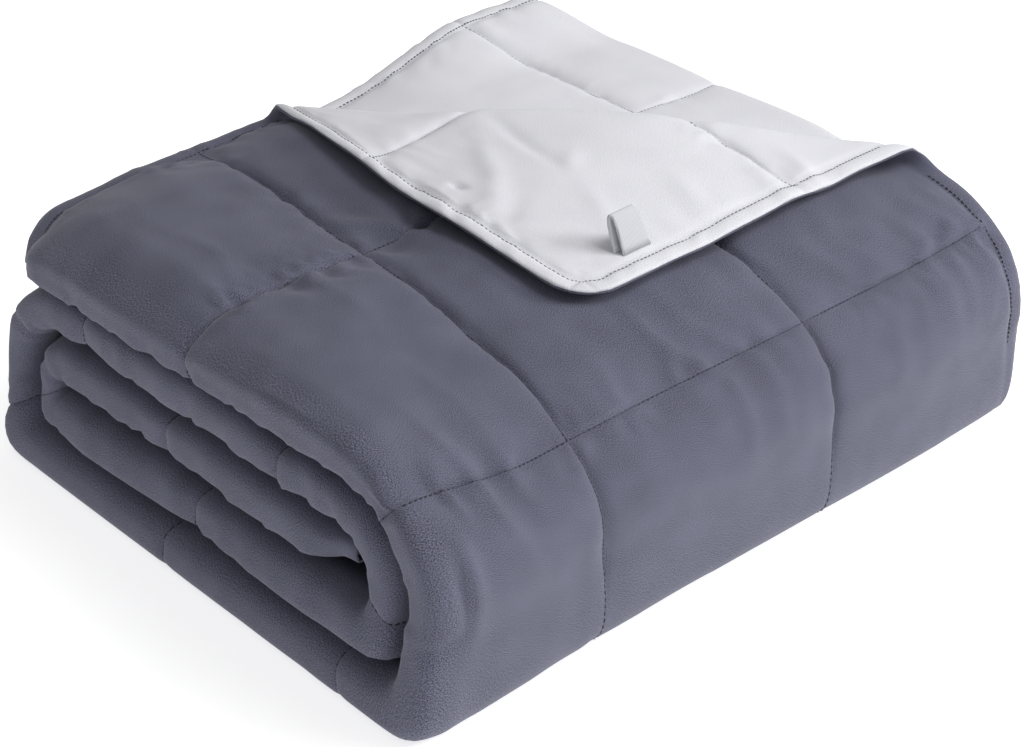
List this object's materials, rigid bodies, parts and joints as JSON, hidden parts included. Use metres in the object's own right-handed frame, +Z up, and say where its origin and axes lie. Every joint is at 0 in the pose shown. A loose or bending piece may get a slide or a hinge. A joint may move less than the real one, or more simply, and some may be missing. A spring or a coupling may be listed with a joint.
{
  "type": "weighted blanket",
  "caption": "Quilted weighted blanket with a dark face and a pale back, folded in thirds and rolled flat, with one corner turned back to show a loop of tape.",
  "frame": {"origin": "middle of the underside of the bounding box, on the surface that the blanket lies on", "axes": "+X across the folded strip, from the end with the rolled edge on the left to the side hem that ends on top; +Y from the front bend to the end hem on top; +Z up"},
  "size_m": [0.4132, 0.361, 0.1627],
  "materials": {
    "face_cloth": "matte brushed cloth",
    "back_cloth": "matte brushed cloth",
    "loop_tape": "woven tape with a faint sheen"
  },
  "bodies": {
    "root": {"face_panel": "face_cloth", "back_panel": "back_cloth", "corner_loop": "loop_tape"}
  },
  "joints": []
}
